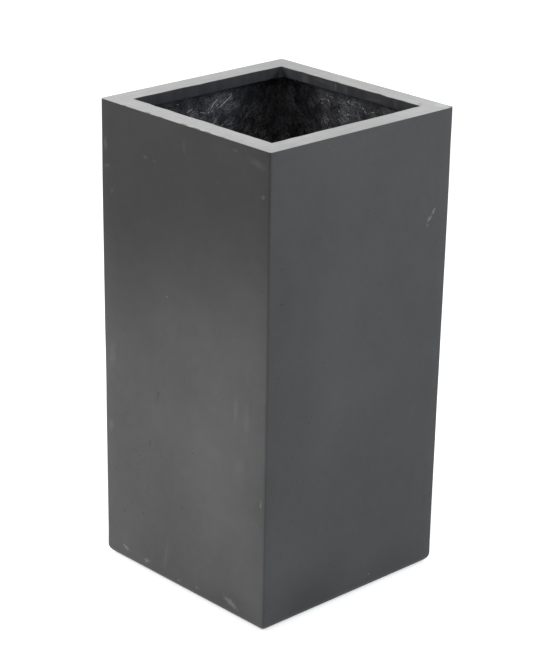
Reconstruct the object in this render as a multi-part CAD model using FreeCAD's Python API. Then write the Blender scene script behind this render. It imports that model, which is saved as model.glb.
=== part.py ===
import FreeCAD, Part
import math
import os

# Tall square planter of hand-laid fibreglass, in millimetres.
#
# The origin is the centre of the standing face, +Z is up and -Y is the front.
# The planter is square in plan, so each side piece or corner piece is drawn
# once and turned about the upright axis. "Half" is half of a square's width.

# ---- Outer form ----
height = 808.0
top_width = 400.0
wall_taper = 3.0  # how far each wall comes in from the rim down to the base
corner_radius = 5.0  # the four upright outer corners
foot_radius = 16.0  # the quarter round where the walls turn under
foot_bands = 8  # flat bands that make up that quarter round

# ---- Shell: walls and the flange turned under them ----
shell_wall = 5.0
inner_corner_radius = 14.0  # the laminate builds up inside the corners
foot_opening_width = 290.0
foot_opening_radius = 25.0

# ---- Rim collar: flat rim and the lip turned down inside it ----
rim_width = 37.5
rim_thickness = 5.0
rim_edge_radius = 1.0
lip_depth = 19.0  # from the top of the rim to the foot of the lip
lip_thickness = 3.5
lip_lean = 1.5  # how far the foot of the lip stands back from its top
lip_top_corner_radius = 1.5
lip_foot_corner_radius = 9.0  # the lip's corners widen into a wedge

# ---- Bonding strips between the rim collar and the shell ----
bond_thickness = 2.0
bond_down = 26.0  # leg down the wall
bond_in = 20.0  # leg under the rim
bond_corner_gap = 30.0  # from the wall's corner to the end of a strip

# ---- Glass tapes in the inside corners ----
tape_thickness = 1.5
tape_reach = 42.0  # along each wall from the corner
tape_end_gap = 6.0  # above the base bead and below the bonding strips

# ---- Base panel, carried on the flange, and the bead of resin putty round it ----
base_thickness = 6.0
base_edge_gap = 1.5  # from the panel's edge to the inside round of the foot
base_corner_radius = 8.0
bead_height = 12.0
bead_overlap = 9.0  # over the panel's edge
bead_top_width = 1.0

# ---- Drain hole and its stopper ----
drain_diameter = 25.0
stopper_clearance = 0.3
stopper_taper = 0.8  # how much thinner the radius is at the stopper's foot
stopper_wall = 2.0  # rubber round the plug's hollow, at its foot
stopper_roof = 2.0  # rubber over the hollow, under the top of the flange
stopper_flange_diameter = 38.0
stopper_flange_thickness = 3.0
stopper_tab_width = 18.0
stopper_tab_thickness = 5.0
stopper_tab_height = 17.0

# ---- Places that follow from the sizes above ----
base_width = top_width - 2.0 * wall_taper
wall_top = height - rim_thickness
base_bottom = shell_wall
base_top = base_bottom + base_thickness
bead_top = base_top + bead_height
up = FreeCAD.Vector(0, 0, 1)
centre = FreeCAD.Vector(0, 0, 0)


def outer_half(z):
    """Half width of the tapered outer form at height z, without the foot's round."""
    return (base_width + (top_width - base_width) * z / height) / 2.0


def rounded_square(half, radius, z):
    """Closed outline of a square with rounded corners, level at height z."""
    flat = half - radius
    bulge = flat + radius * math.sqrt(0.5)
    edges = []
    for quarter in range(4):
        edge_start = FreeCAD.Vector(-flat, -half, z)
        edge_end = FreeCAD.Vector(flat, -half, z)
        arc_middle = FreeCAD.Vector(bulge, -bulge, z)
        arc_end = FreeCAD.Vector(half, -flat, z)
        side = [Part.makeLine(edge_start, edge_end), Part.Arc(edge_end, arc_middle, arc_end).toShape()]
        for edge in side:
            edge.rotate(centre, up, 90.0 * quarter)
            edges.append(edge)
    return Part.Wire(Part.__sortEdges__(edges))


def block(sections):
    """Solid through level rounded squares, each given as (half, radius, z)."""
    return Part.makeLoft([rounded_square(*section) for section in sections], True, True)


def slab(half, radius, low, high):
    """Straight-sided block between two heights."""
    return block([(half, radius, low), (half, radius, high)])


def planter_form(inset, radius, top):
    """The outer form drawn in by inset all over: flat foot, quarter round, tapered walls."""
    round_radius = foot_radius - inset
    sections = []
    for band in range(foot_bands + 1):
        angle = math.radians(90.0 * band / foot_bands)
        z = foot_radius - round_radius * math.cos(angle)
        half = outer_half(z) - foot_radius + round_radius * math.sin(angle)
        sections.append((half, radius, z))
    sections.append((outer_half(top) - inset, radius, top))
    return block(sections)


def inside_form(inset, top=wall_top):
    """The room inside the shell, drawn in by inset."""
    return planter_form(shell_wall + inset, inner_corner_radius - inset, top)


def box_between(low, high):
    """Box between two opposite corners."""
    size = [high[axis] - low[axis] for axis in range(3)]
    return Part.makeBox(*size, FreeCAD.Vector(*low))


def turned(shape, quarter):
    """Copy turned by a number of quarter turns about the upright axis."""
    copy = shape.copy()
    copy.rotate(centre, up, 90.0 * quarter)
    return copy


def make_shell():
    """One moulding: four walls and the narrow flange they turn under into."""
    shell = planter_form(0.0, corner_radius, wall_top)
    shell = shell.cut(inside_form(0.0))
    opening = slab(foot_opening_width / 2.0, foot_opening_radius, -shell_wall, base_top)
    return shell.cut(opening)


def mouth_form(inset, low):
    """The tapering opening through the rim and lip, widened by inset."""
    half = top_width / 2.0 - rim_width + inset
    top = (half, lip_top_corner_radius + inset, height)
    foot = (half + lip_lean, lip_foot_corner_radius + inset, low)
    return block([foot, top])


def is_rim_edge(edge):
    """True for the edges round the top face of the rim."""
    box = edge.BoundBox
    return box.ZMin > height - 0.001


def make_rim_collar():
    """Flat rim bonded on top of the walls, with the smooth lip turned down inside it."""
    rim = block([
        (outer_half(wall_top), corner_radius, wall_top),
        (outer_half(height), corner_radius, height),
    ])
    lip_foot = height - lip_depth
    collar = rim.fuse(mouth_form(lip_thickness, lip_foot))
    collar = collar.cut(mouth_form(0.0, lip_foot)).removeSplitter()
    rim_edges = [edge for edge in collar.Edges if is_rim_edge(edge)]
    return collar.makeFillet(rim_edge_radius, rim_edges)


def make_rim_bond():
    """Angle strip laid up in the corner under the front rim, against the front wall."""
    wall_half = outer_half(wall_top) - shell_wall
    half_length = wall_half - bond_corner_gap
    low = (-half_length, -wall_half - shell_wall, wall_top - bond_down)
    high = (half_length, -wall_half + bond_in, wall_top)
    strip = inside_form(0.0).common(box_between(low, high))
    return strip.cut(inside_form(bond_thickness, wall_top - bond_thickness))


def corner_square(z):
    """Square outline that the front left corner tape keeps within, level at height z."""
    far = -outer_half(z)
    near = far + shell_wall + tape_reach
    corners = [(far, far), (near, far), (near, near), (far, near), (far, far)]
    return Part.makePolygon([FreeCAD.Vector(x, y, z) for x, y in corners])


def make_corner_tape():
    """Glass tape laid into the front left inside corner, from the base bead to the strips."""
    low_z = bead_top + tape_end_gap
    high_z = wall_top - bond_down - tape_end_gap
    reach = Part.makeLoft([corner_square(low_z), corner_square(high_z)], True, True)
    tape = inside_form(0.0).common(reach)
    return tape.cut(inside_form(tape_thickness))


def base_half():
    """Half width of the base panel, which clears the inside round of the foot."""
    return outer_half(base_bottom) - foot_radius - base_edge_gap


def make_base_panel():
    """Flat panel resting on the flange, with the drain hole through its middle."""
    panel = slab(base_half(), base_corner_radius, base_bottom, base_top)
    low = centre + up * (base_bottom - base_thickness)
    drain = Part.makeCylinder(drain_diameter / 2.0, 3.0 * base_thickness, low, up)
    return panel.cut(drain)


def make_base_bead():
    """Putty bead that fills the gap round the base panel and slopes up to the walls."""
    room = inside_form(0.0, bead_top)
    panel = slab(base_half(), base_corner_radius, base_bottom, base_top)
    under = slab(base_half(), base_corner_radius, 0.0, base_bottom)
    open_half = base_half() - bead_overlap
    top_half = outer_half(bead_top) - shell_wall - bead_top_width
    slope = block([
        (open_half, base_corner_radius, base_top),
        (top_half, inner_corner_radius - bead_top_width, bead_top),
    ])
    return room.cut(panel.fuse(under)).cut(slope)


def make_stopper():
    """Rubber stopper: hollow tapered plug, flange that rests on the base panel, and pull tab."""
    plug_radius = drain_diameter / 2.0 - stopper_clearance
    foot = centre + up * base_bottom
    seat = centre + up * base_top
    plug = Part.makeCone(plug_radius - stopper_taper, plug_radius, base_thickness, foot, up)
    flange_radius = stopper_flange_diameter / 2.0
    flange = Part.makeCylinder(flange_radius, stopper_flange_thickness, seat, up)
    tab_low = base_top + stopper_flange_thickness
    tab_round = stopper_tab_width / 2.0
    tab_straight = base_top + stopper_flange_thickness + stopper_tab_height - tab_round
    half_thickness = stopper_tab_thickness / 2.0
    tab = box_between((-tab_round, -half_thickness, tab_low), (tab_round, half_thickness, tab_straight))
    round_start = FreeCAD.Vector(0, -half_thickness, tab_straight)
    tab_top = Part.makeCylinder(tab_round, stopper_tab_thickness, round_start, FreeCAD.Vector(0, 1, 0))
    hollow_radius = plug_radius - stopper_taper - stopper_wall
    hollow_height = base_thickness + stopper_flange_thickness - stopper_roof
    hollow = Part.makeCylinder(hollow_radius, hollow_height, foot, up)
    return plug.fuse([flange, tab, tab_top]).removeSplitter().cut(hollow)


def export(name, shape):
    """Write one sub-part as its own STEP file."""
    shape.exportStep("parts/" + name + ".step")


os.makedirs("parts", exist_ok=True)

export("shell", make_shell())
export("rim_collar", make_rim_collar())
export("base_panel", make_base_panel())
export("base_bead", make_base_bead())
export("drain_stopper", make_stopper())

for quarter, side in enumerate(["front", "right", "back", "left"]):
    export("rim_bond_" + side, turned(make_rim_bond(), quarter))

for quarter, corner_name in enumerate(["front_left", "front_right", "back_right", "back_left"]):
    export("corner_tape_" + corner_name, turned(make_corner_tape(), quarter))
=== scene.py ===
# Tall square fibreglass planter: its looks, laid on the solids of its frame.
#
# Metres, +Z up and -Y the front. Every piece has its place in its own mesh.
# The planter is square, so most pieces are skinned through level square rings
# that share one number of corner points. "Half" is half of a square's width.

import math
import random
from contextlib import contextmanager

import bmesh
import bpy
from mathutils import Matrix, Vector, noise
from mathutils.bvhtree import BVHTree


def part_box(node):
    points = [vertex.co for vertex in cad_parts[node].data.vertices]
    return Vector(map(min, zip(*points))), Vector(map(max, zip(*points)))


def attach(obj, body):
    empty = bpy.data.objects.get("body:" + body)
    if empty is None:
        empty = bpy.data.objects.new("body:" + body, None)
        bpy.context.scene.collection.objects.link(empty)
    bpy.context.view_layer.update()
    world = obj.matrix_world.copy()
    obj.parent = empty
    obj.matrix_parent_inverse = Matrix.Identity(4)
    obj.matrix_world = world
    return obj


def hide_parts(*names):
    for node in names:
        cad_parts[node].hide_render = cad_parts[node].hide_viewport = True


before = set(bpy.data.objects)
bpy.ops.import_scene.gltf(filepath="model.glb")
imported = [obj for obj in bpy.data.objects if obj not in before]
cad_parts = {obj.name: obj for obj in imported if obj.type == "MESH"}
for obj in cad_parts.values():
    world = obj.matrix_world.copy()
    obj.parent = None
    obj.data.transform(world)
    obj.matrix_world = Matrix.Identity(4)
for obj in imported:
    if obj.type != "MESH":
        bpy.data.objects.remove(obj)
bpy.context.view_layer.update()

MM = 0.001
TINY = 0.01 * MM  # a rise or a gap that counts as none
CLOSE = 0.1 * MM  # two places that count as one

# ---- Sizes read from the frame ----
shell_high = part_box("shell")[1]
rim_low, rim_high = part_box("rim_collar")
panel_low, panel_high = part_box("base_panel")
bead_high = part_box("base_bead")[1]
stopper_low, stopper_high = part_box("drain_stopper")
tape_low, tape_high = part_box("corner_tape_front_left")
TOP = rim_high.z
WALL_TOP = shell_high.z
LIP_FOOT = rim_low.z
TOP_HALF = rim_high.x

# ---- Sizes shared with the solids ----
WALL_TAPER = 3 * MM
CORNER_ROUND = 5 * MM
FOOT_ROUND = 16 * MM
WALL = 5 * MM
INNER_CORNER_ROUND = 14 * MM
FOOT_OPENING_HALF = 145 * MM
FOOT_OPENING_ROUND = 25 * MM
RIM_WIDTH = 37.5 * MM
RIM_EDGE_ROUND = 1 * MM
LIP_THICKNESS = 3.5 * MM
LIP_LEAN = 1.5 * MM
LIP_TOP_CORNER_ROUND = 1.5 * MM
LIP_WEDGE = 7 * MM  # a flat facet, where the solid has a round corner
TAPE_THICKNESS = 1.5 * MM
TAPE_REACH = 42 * MM
BASE_CORNER_ROUND = 8 * MM
BEAD_OVERLAP = 9 * MM
DRAIN_RADIUS = 12.5 * MM
STOPPER_FLANGE = 3 * MM
STOPPER_TAPER = 0.8 * MM
STOPPER_WALL = 2 * MM
STOPPER_ROOF = 2 * MM
STOPPER_CLEARANCE = 0.3 * MM
TAB_WIDTH = 18 * MM
TAB_THICKNESS = 5 * MM
MOUTH_HALF = TOP_HALF - RIM_WIDTH

# ---- Camera, at the photograph's angle ----
CAMERA_AZIMUTH = 46.449
CAMERA_ELEVATION = 21.096
CAMERA_ROLL = 1.0625
CAMERA_DISTANCE = 3.7702
CAMERA_TARGET = Vector((0.0057, 0.0, 0.4196))
CAMERA_LENS = 124.037

# ---- Chopped strands, laid on the lining and the base ----
STRAND_SEED = 7
STRAND_THICKNESS = 0.9 * MM
BASE_STRAND_THICKNESS = 0.8 * MM
LOOSE_STRAND_THICKNESS = 1.15 * MM
UPPER_STRANDS = 4200  # on each wall
LOWER_STRANDS = 6600  # on all four walls together
BASE_STRANDS = 2200
STRANDS_FROM = 0.03
STRANDS_CLOSER_FROM = 0.62
STRANDS_TO = 0.775
STRAND_INSET = 9 * MM  # where a strand starts before it is bedded, in from the outer form
WALL_CURL = 0.7
BASE_CURL = 0.5


# =====================================================================
# Modelling helpers
# =====================================================================

def deselect_everything():
    """Nothing is selected afterwards, so the next primitive stands alone."""
    if bpy.context.object and bpy.context.object.mode != "OBJECT":
        bpy.ops.object.mode_set(mode="OBJECT")
    bpy.ops.object.select_all(action="DESELECT")


def make_active(piece):
    """Select this piece alone and make it the active one."""
    deselect_everything()
    piece.select_set(True)
    bpy.context.view_layer.objects.active = piece


@contextmanager
def editing(piece):
    """Edit mode on this piece alone."""
    make_active(piece)
    bpy.ops.object.mode_set(mode="EDIT")
    yield piece
    bpy.ops.object.mode_set(mode="OBJECT")


def named(name):
    """Name the piece that was just added, and its mesh."""
    piece = bpy.context.object
    piece.name = name
    piece.data.name = name
    return piece


def pick(piece, kind, test):
    """In edit mode, select just the faces, edges or verts that pass the test."""
    bpy.ops.mesh.select_mode(type=kind)
    bpy.ops.mesh.select_all(action="DESELECT")
    mesh = bmesh.from_edit_mesh(piece.data)
    elements = {"FACE": mesh.faces, "EDGE": mesh.edges, "VERT": mesh.verts}[kind]
    for element in elements:
        if test(element):
            element.select_set(True)
    mesh.select_flush_mode()
    bmesh.update_edit_mesh(piece.data)


def new_box(name, low, high):
    """Box primitive between two corners, its place already in its mesh."""
    deselect_everything()
    low, high = Vector(low), Vector(high)
    bpy.ops.mesh.primitive_cube_add(size=1.0, location=(low + high) / 2)
    piece = named(name)
    piece.scale = high - low
    bpy.ops.object.transform_apply(location=True, rotation=True, scale=True)
    return piece


def middle(edge):
    """Middle point of an edge."""
    return (edge.verts[0].co + edge.verts[1].co) / 2


def along(edge):
    """Vector from one end of an edge to the other, with no negative parts."""
    run = edge.verts[1].co - edge.verts[0].co
    return Vector((abs(run.x), abs(run.y), abs(run.z)))


def out_from_axis(point):
    """Distance from the upright axis, measured as a square's half width."""
    return max(abs(point.x), abs(point.y))


def add_ring(half, z, corner, steps, profile):
    """In edit mode, add a level square ring with rounded corners, kept as a group."""
    bpy.ops.mesh.select_all(action="DESELECT")
    bpy.ops.mesh.primitive_plane_add(size=2 * half, location=(0, 0, z))
    bpy.ops.mesh.bevel(offset=corner, segments=steps, profile=profile, affect="VERTICES")
    bpy.ops.object.vertex_group_add()
    bpy.ops.object.vertex_group_assign()
    bpy.ops.mesh.delete(type="ONLY_FACE")


def ringed_piece(name, rings, steps, closed=False):
    """Piece skinned through level square rings, each (half, z, corner radius) with
    an optional corner profile. Closed, the last ring is joined to the first."""
    deselect_everything()
    bpy.ops.mesh.primitive_plane_add(size=1.0)
    piece = named(name)
    with editing(piece):
        bpy.ops.mesh.select_mode(type="VERT")
        bpy.ops.mesh.select_all(action="SELECT")
        bpy.ops.mesh.delete(type="VERT")
        for half, z, corner, *profile in rings:
            add_ring(half, z, corner, steps, profile[0] if profile else 0.5)
        pairs = [(ring, ring + 1) for ring in range(len(rings) - 1)]
        if closed:
            pairs.append((len(rings) - 1, 0))
        # Rings on one level are joined first, or the bridge between them twists.
        pairs.sort(key=lambda pair: rings[pair[0]][1] != rings[pair[1]][1])
        for pair in pairs:
            bpy.ops.mesh.select_all(action="DESELECT")
            for ring in pair:
                piece.vertex_groups.active_index = ring
                bpy.ops.object.vertex_group_select()
            bpy.ops.mesh.bridge_edge_loops()
        bpy.ops.mesh.select_all(action="SELECT")
        bpy.ops.mesh.normals_make_consistent(inside=False)
    piece.vertex_groups.clear()
    return piece


def is_level(edge):
    """True for an edge with no rise."""
    return along(edge).z < TINY


def runs_along_side(edge):
    """True for a long edge that runs level, or nearly so, along a side."""
    longer_than_corners = 0.2
    steepest = 0.1
    run = along(edge)
    return run.length > longer_than_corners and run.z < steepest * run.length


def divide_sides(piece, cuts):
    """In edit mode, cut the long edges along the sides, and the faces between them."""
    pick(piece, "EDGE", runs_along_side)
    bpy.ops.mesh.subdivide(number_cuts=cuts)


def ripple(piece, size, height, middle_level=0.5, direction="NORMAL", test=None):
    """Push the surface in and out by soft noise of one size, where the test allows."""
    cloud = bpy.data.textures.new(piece.name + "_ripple", "CLOUDS")
    cloud.noise_scale = size
    cloud.noise_depth = 1
    push = piece.modifiers.new("ripple", "DISPLACE")
    push.texture = cloud
    push.texture_coords = "LOCAL"
    push.direction = direction
    push.strength = height
    push.mid_level = middle_level
    if test:
        group = piece.vertex_groups.new(name="rippled")
        group.add([v.index for v in piece.data.vertices if test(v.co)], 1.0, "REPLACE")
        push.vertex_group = group.name
    make_active(piece)
    bpy.ops.object.modifier_apply(modifier=push.name)
    piece.vertex_groups.clear()


def face_outwards(piece, inside=False):
    """Merge doubles and point every face outwards, or inwards for a lining."""
    with editing(piece):
        bpy.ops.mesh.select_all(action="SELECT")
        bpy.ops.mesh.remove_doubles(threshold=TINY)
        bpy.ops.mesh.normals_make_consistent(inside=inside)


def thicken(piece, thickness):
    """Give an open skin its thickness, behind its faces."""
    wall = piece.modifiers.new("wall", "SOLIDIFY")
    wall.thickness = thickness
    wall.offset = -1.0
    wall.use_even_offset = True
    make_active(piece)
    bpy.ops.object.modifier_apply(modifier=wall.name)


def smooth(piece, angle=40):
    """Smooth shading over all but the sharp edges."""
    make_active(piece)
    bpy.ops.object.shade_smooth_by_angle(angle=math.radians(angle))


def cut_out(piece, cutter):
    """Cut one piece by another, which is then deleted."""
    hole = piece.modifiers.new("hole", "BOOLEAN")
    hole.operation = "DIFFERENCE"
    hole.object = cutter
    make_active(piece)
    bpy.ops.object.modifier_apply(modifier=hole.name)
    bpy.data.objects.remove(cutter)


def join(pieces, name):
    """Several pieces as one."""
    make_active(pieces[0])
    for piece in pieces[1:]:
        piece.select_set(True)
    bpy.ops.object.join()
    return named(name)


def dress(piece, material, body="planter", stands_for=()):
    """Material, slot, body and the solids that the piece stands for."""
    piece.data.materials.clear()
    piece.data.materials.append(material)
    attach(piece, body)
    if stands_for:
        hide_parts(*stands_for)


# =====================================================================
# Material helpers
# =====================================================================

def new_node(tree, kind, **settings):
    """New node, with values for its properties or for its input sockets by name."""
    node = tree.nodes.new(kind)
    for name, value in settings.items():
        if hasattr(node, name):
            setattr(node, name, value)
        else:
            node.inputs[name].default_value = value
    return node


def feed(tree, socket, value):
    """Link a socket, or set a value, into an input."""
    if isinstance(value, bpy.types.NodeSocket):
        tree.links.new(value, socket)
    else:
        socket.default_value = value


def grey(level):
    """Neutral colour."""
    return (level, level, level, 1.0)


def maths(tree, operation, first, second=0.0):
    """Math node on sockets or numbers; returns its output."""
    node = new_node(tree, "ShaderNodeMath", operation=operation)
    feed(tree, node.inputs[0], first)
    feed(tree, node.inputs[1], second)
    return node.outputs[0]


def ramp(tree, value, low, high):
    """Smooth step of a value, from 0 at low to 1 at high."""
    node = new_node(tree, "ShaderNodeMapRange", interpolation_type="SMOOTHSTEP")
    feed(tree, node.inputs["Value"], value)
    feed(tree, node.inputs["From Min"], low)
    feed(tree, node.inputs["From Max"], high)
    return node.outputs["Result"]


def blend_colour(tree, factor, first, second):
    """Blend of two colours, each a socket or a colour."""
    node = new_node(tree, "ShaderNodeMix", data_type="RGBA")
    feed(tree, node.inputs["Factor"], factor)
    feed(tree, node.inputs[6], first)
    feed(tree, node.inputs[7], second)
    return node.outputs[2]


def shade_by(tree, colour, mask, amount):
    """Multiply a colour by 1 where the mask is 0, and by 1 + amount where it is 1."""
    factor = maths(tree, "ADD", 1.0, maths(tree, "MULTIPLY", mask, amount))
    scaled = new_node(tree, "ShaderNodeVectorMath", operation="SCALE")
    feed(tree, scaled.inputs[0], colour)
    feed(tree, scaled.inputs["Scale"], factor)
    return scaled.outputs[0]


def noise_mask(tree, vector, scale, detail=3.0, roughness=0.5, stretch=(1, 1, 1)):
    """Noise about 0.5 on a stretched copy of a vector."""
    mapping = new_node(tree, "ShaderNodeMapping", Scale=stretch)
    feed(tree, mapping.inputs["Vector"], vector)
    cloud = new_node(tree, "ShaderNodeTexNoise", Scale=scale, Detail=detail, Roughness=roughness)
    tree.links.new(mapping.outputs[0], cloud.inputs["Vector"])
    return cloud.outputs["Fac"]


def new_effect(name, inputs):
    """Empty shader node group with named inputs and a mask; returns it with its two ends."""
    group = bpy.data.node_groups.new(name, "ShaderNodeTree")
    for label, kind, default in inputs:
        socket = group.interface.new_socket(name=label, in_out="INPUT", socket_type=kind)
        if default is not None:
            socket.default_value = default
    group.interface.new_socket(name="Mask", in_out="OUTPUT", socket_type="NodeSocketFloat")
    return group, group.nodes.new("NodeGroupInput").outputs, group.nodes.new("NodeGroupOutput").inputs


def place_effect(tree, group, **values):
    """An effect placed in a material with its own values; returns its mask."""
    node = new_node(tree, "ShaderNodeGroup")
    node.node_tree = group
    for name, value in values.items():
        feed(tree, node.inputs[name.replace("_", " ")], value)
    return node.outputs[0]


def new_material(name, roughness, specular):
    """Material with one Principled shader; returns it, its tree and the shader's inputs."""
    material = bpy.data.materials.new(name)
    material.use_nodes = True
    tree = material.node_tree
    shader = tree.nodes["Principled BSDF"].inputs
    shader["Roughness"].default_value = roughness
    shader["Specular IOR Level"].default_value = specular
    return material, tree, shader


def object_place(tree):
    """Object coordinates, which are the planter's own frame."""
    return tree.nodes.new("ShaderNodeTexCoord").outputs["Object"]


def seen_by_eye(tree):
    """Mask of what the eye sees straight on, in a reflection or through glass."""
    path = new_node(tree, "ShaderNodeLightPath")
    seen = maths(tree, "MAXIMUM", path.outputs["Is Camera Ray"], path.outputs["Is Glossy Ray"])
    return maths(tree, "MAXIMUM", seen, path.outputs["Is Transmission Ray"])


def rough_surface(tree, shader, height, distance, strength):
    """Bump from a height socket into the shader's normal."""
    node = new_node(tree, "ShaderNodeBump", Distance=distance, Strength=strength)
    tree.links.new(height, node.inputs["Height"])
    tree.links.new(node.outputs["Normal"], shader["Normal"])


# =====================================================================
# Effects that several materials share
# =====================================================================

def make_clouding():
    """Cloudy tone that drifts between light and dark at two sizes."""
    group, start, end = new_effect("clouding", [
        ("Vector", "NodeSocketVector", None),
        ("Size", "NodeSocketFloat", 6.0),
        ("Fine share", "NodeSocketFloat", 0.35),
    ])
    broad = new_node(group, "ShaderNodeTexNoise", Detail=2.0, Roughness=0.45)
    fine = new_node(group, "ShaderNodeTexNoise", Detail=4.0, Roughness=0.6)
    feed(group, broad.inputs["Vector"], start["Vector"])
    feed(group, fine.inputs["Vector"], start["Vector"])
    feed(group, broad.inputs["Scale"], start["Size"])
    feed(group, fine.inputs["Scale"], maths(group, "MULTIPLY", start["Size"], 9.0))
    fine_part = maths(group, "MULTIPLY", fine.outputs["Fac"], start["Fine share"])
    broad_share = maths(group, "SUBTRACT", 1.0, start["Fine share"])
    broad_part = maths(group, "MULTIPLY", broad.outputs["Fac"], broad_share)
    feed(group, end["Mask"], maths(group, "ADD", fine_part, broad_part))
    return group


def make_pinholes():
    """Tiny air holes: round dots in a few of many cells."""
    group, start, end = new_effect("pinholes", [
        ("Vector", "NodeSocketVector", None),
        ("Density", "NodeSocketFloat", 90.0),
        ("Share", "NodeSocketFloat", 0.1),
        ("Dot", "NodeSocketFloat", 0.12),
    ])
    cells = new_node(group, "ShaderNodeTexVoronoi")
    feed(group, cells.inputs["Vector"], start["Vector"])
    feed(group, cells.inputs["Scale"], start["Density"])
    lot = new_node(group, "ShaderNodeTexWhiteNoise")
    feed(group, lot.inputs["Vector"], cells.outputs["Position"])
    chosen = maths(group, "LESS_THAN", lot.outputs["Value"], start["Share"])
    second_lot = maths(group, "FRACT", maths(group, "MULTIPLY", lot.outputs["Value"], 97.0))
    dot = maths(group, "MULTIPLY", start["Dot"], maths(group, "ADD", 0.5, second_lot))
    inside = maths(group, "LESS_THAN", cells.outputs["Distance"], dot)
    feed(group, end["Mask"], maths(group, "MULTIPLY", chosen, inside))
    return group


def make_patch():
    """One oval patch, for rubbed, stained and clouded marks and for patches of painted light and shade.
    Grain breaks its edge up.
    """
    group, start, end = new_effect("patch", [
        ("Vector", "NodeSocketVector", None),
        ("Grain", "NodeSocketFloat", 0.5),
        ("Centre", "NodeSocketVector", None),
        ("Slant", "NodeSocketVector", None),
        ("Reach", "NodeSocketVector", (0.01, 0.01, 0.01)),
        ("Ragged", "NodeSocketFloat", 1.0),
        ("Softness", "NodeSocketFloat", 0.6),
    ])
    oval = new_node(group, "ShaderNodeMapping", vector_type="TEXTURE")
    feed(group, oval.inputs["Vector"], start["Vector"])
    feed(group, oval.inputs["Location"], start["Centre"])
    feed(group, oval.inputs["Rotation"], start["Slant"])
    feed(group, oval.inputs["Scale"], start["Reach"])
    length = new_node(group, "ShaderNodeVectorMath", operation="LENGTH")
    feed(group, length.inputs[0], oval.outputs[0])
    torn = maths(group, "MULTIPLY", maths(group, "SUBTRACT", start["Grain"], 0.5), start["Ragged"])
    distance = maths(group, "ADD", length.outputs["Value"], torn)
    inner = maths(group, "SUBTRACT", 1.0, start["Softness"])
    feed(group, end["Mask"], ramp(group, distance, 1.0, inner))
    return group


def make_curled_fibres():
    """Mat of fine curled fibres: thin lines along the level lines of three noises."""
    group, start, end = new_effect("curled_fibres", [
        ("Vector", "NodeSocketVector", None),
        ("Density", "NodeSocketFloat", 150.0),
        ("Width", "NodeSocketFloat", 0.04),
    ])
    mat = 0.0
    for layer in range(3):
        shifted = new_node(group, "ShaderNodeVectorMath", operation="ADD")
        feed(group, shifted.inputs[0], start["Vector"])
        shifted.inputs[1].default_value = (0.31 * layer, 0.17 * layer, 0.23 * layer)
        curls = new_node(group, "ShaderNodeTexNoise", Detail=1.0, Distortion=0.7)
        feed(group, curls.inputs["Vector"], shifted.outputs[0])
        feed(group, curls.inputs["Scale"], start["Density"])
        from_line = maths(group, "ABSOLUTE", maths(group, "SUBTRACT", curls.outputs["Fac"], 0.5))
        mat = maths(group, "MAXIMUM", mat, ramp(group, from_line, start["Width"], 0.0))
    feed(group, end["Mask"], mat)
    return group


def make_facing_up():
    """Mask of what faces up, where dust lies and hands have rubbed, and where the top is painted paler as
    light from above.
    """
    group, start, end = new_effect("facing_up", [
        ("From", "NodeSocketFloat", 0.55),
        ("To", "NodeSocketFloat", 0.9),
    ])
    geometry = new_node(group, "ShaderNodeNewGeometry")
    parts = new_node(group, "ShaderNodeSeparateXYZ")
    feed(group, parts.inputs[0], geometry.outputs["Normal"])
    feed(group, end["Mask"], ramp(group, parts.outputs["Z"], start["From"], start["To"]))
    return group


clouding = make_clouding()
pinholes = make_pinholes()
patch = make_patch()
curled_fibres = make_curled_fibres()
facing_up = make_facing_up()


# =====================================================================
# Materials
# =====================================================================

# Colours, each finish from its darker to its paler one.
# The gelcoat lit and shaded: the front and back painted lighter, the right and left painted in shade.
CHARCOAL_SHADED_RIGHT = (0.0635, 0.0645, 0.0665, 1)
CHARCOAL_LIT_FRONT = (0.0855, 0.0853, 0.085, 1)
# The rim's top is painted this pale partly for dust and partly as light falling from above.
RIM_DARK = (0.385, 0.383, 0.376, 1)
RIM_PALE = (0.465, 0.463, 0.454, 1)
LIP_DARK = (0.037, 0.0375, 0.041, 1)
LIP_PALE = (0.057, 0.0575, 0.062, 1)
RESIN_DARK = (0.022, 0.0222, 0.025, 1)
RESIN_PALE = (0.042, 0.0425, 0.048, 1)
WET_GLASS_DARK = (0.02, 0.0205, 0.024, 1)
WET_GLASS_PALE = (0.26, 0.264, 0.285, 1)
DRY_GLASS_DARK = (0.35, 0.35, 0.36, 1)
DRY_GLASS_PALE = (0.75, 0.75, 0.76, 1)

# Marks on the outside, by the side that they are on. Each has its place across
# the side and up it, its length, its width and its slant from level, in
# millimetres and degrees, and how much it lightens or darkens the gelcoat.
FRONT_MARKS = [
    (-188, 735, 34, 12, 90, 0.74),
    (-184, 699, 20, 9, 10, 0.54),
    (-172, 659, 14, 9, 60, 0.47),
    (-88, 735, 18, 6, -10, 0.68),
    (-66, 733, 16, 5, 5, 0.54),
    (4, 772, 30, 8, 90, 0.41),
    (123, 794, 18, 5, -8, 0.54),
    (172, 784, 52, 16, -12, 0.43),
    (184, 735, 12, 9, 20, 0.94),
    (81, 734, 12, 8, 0, 0.24),
    (-37, 514, 6, 4, 0, 1.62),
    (-176, 375, 60, 24, 85, 0.24),
    (-182, 243, 26, 16, 90, 0.3),
    (128, 371, 62, 14, 88, 0.22),
    (154, 356, 70, 20, 90, 0.19),
    (137, 274, 44, 34, 70, 0.14),
    (188, 226, 18, 4, 90, 1.22),
    (-147, 27, 28, 8, -20, 1.01),
    (-92, 22, 20, 11, 25, 0.88),
    (-9, 16, 16, 7, 30, 0.61),
    (37, 21, 14, 7, -10, 0.54),
    (121, 25, 46, 15, -18, 1.08),
    (-42, 52, 70, 11, 80, 0.22),
    (-61, 334, 26, 5, 75, -0.35),
    (-82, 243, 15, 4, 80, -0.4),
]
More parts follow.
